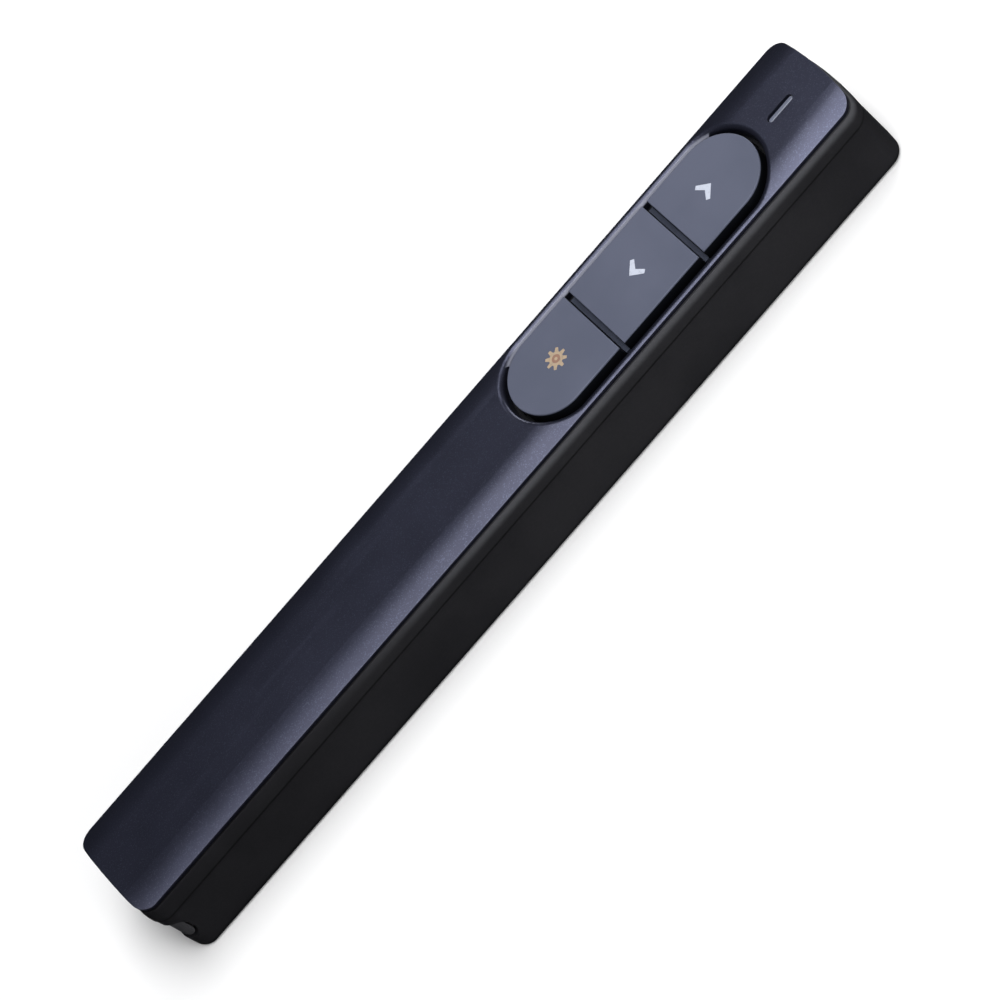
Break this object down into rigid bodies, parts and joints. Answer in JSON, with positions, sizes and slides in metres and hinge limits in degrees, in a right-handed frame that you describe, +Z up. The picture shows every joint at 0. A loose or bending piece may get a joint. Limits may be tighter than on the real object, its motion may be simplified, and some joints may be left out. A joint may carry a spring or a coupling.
{
  "type": "wireless presentation clicker",
  "caption": "Slim bar-shaped wireless presentation clicker with a crowned cover, keys in a stadium pocket, a laser in the nose and a receiver stored in the tail.",
  "frame": {"origin": "middle of the underside, on the surface that the clicker lies on", "axes": "+X along the body towards the nose with the laser, +Z up through the keys, +Y towards the side with the power switch"},
  "size_m": [0.1457, 0.018, 0.0165],
  "materials": {
    "casing_black": "fine matte grain",
    "cover_navy": "satin paint, dark blue-grey",
    "frame_black": "matte",
    "rubber_slate": "soft silicone, slate",
    "key_slate": "satin slate paint on black",
    "switch_black": "semi-gloss",
    "stem_white": "semi-gloss",
    "board_green": "solder mask",
    "screw_steel": "zinc plated",
    "chip_black": "moulded epoxy",
    "plated_steel": "nickel plated",
    "ceramic_tan": "ceramic",
    "led_white": "milky resin",
    "pipe_clear": "milky clear",
    "brass": "turned",
    "lens_glass": "polished",
    "wire_red": "wire jacket",
    "window_dark": "tinted, polished",
    "cell_steel": "nickel plated",
    "sleeve_gold": "printed film, plain",
    "receiver_black": "fine matte grain",
    "plug_steel": "nickel plated",
    "gold_pins": "gold plated"
  },
  "bodies": {
    "casing": {"lower_casing": "casing_black", "top_cover": "cover_navy", "key_frame": "frame_black", "keypad_membrane": "rubber_slate", "laser_switch": "switch_black", "page_down_switch": "switch_black", "page_up_switch": "switch_black", "circuit_board": "board_green", "board_screws": "screw_steel", "controller_chip": "chip_black", "crystal": "plated_steel", "capacitor": "ceramic_tan", "status_led": "led_white", "light_pipe": "pipe_clear", "laser_barrel": "brass", "laser_lens": "lens_glass", "laser_diode": "plated_steel", "laser_leads": "wire_red", "nose_window": "window_dark", "cell_can": "cell_steel", "cell_sleeve": "sleeve_gold", "spring_contact": "plated_steel", "button_contact": "plated_steel", "cell_leads": "wire_red", "power_switch": "plated_steel"},
    "laser_button": {"laser_key": "key_slate", "laser_stem": "stem_white"},
    "page_down_button": {"page_down_key": "key_slate", "page_down_stem": "stem_white"},
    "page_up_button": {"page_up_key": "key_slate", "page_up_stem": "stem_white"},
    "door": {"cell_door": "casing_black"},
    "receiver": {"receiver_body": "receiver_black", "plug_shell": "plug_steel", "plug_insert": "switch_black", "plug_pins": "gold_pins"},
    "knob": {"power_knob": "casing_black"}
  },
  "joints": [
    {"name": "laser_press", "type": "slide", "parent": "casing", "child": "laser_button", "axis": [0, 0, -1], "range_m": [0, 0.0004], "stiffness_N_per_m": 600},
    {"name": "page_down_press", "type": "slide", "parent": "casing", "child": "page_down_button", "axis": [0, 0, -1], "range_m": [0, 0.0004], "stiffness_N_per_m": 600},
    {"name": "page_up_press", "type": "slide", "parent": "casing", "child": "page_up_button", "axis": [0, 0, -1], "range_m": [0, 0.0004], "stiffness_N_per_m": 600},
    {"name": "power_slide", "type": "slide", "parent": "casing", "child": "knob", "axis": [1, 0, 0], "range_m": [0, 0.002]},
    {"name": "door_slide", "type": "slide", "parent": "casing", "child": "door", "axis": [-1, 0, 0], "range_m": [0, 0.075]},
    {"name": "receiver_slide", "type": "slide", "parent": "casing", "child": "receiver", "axis": [-1, 0, 0], "range_m": [0, 0.022]}
  ]
}
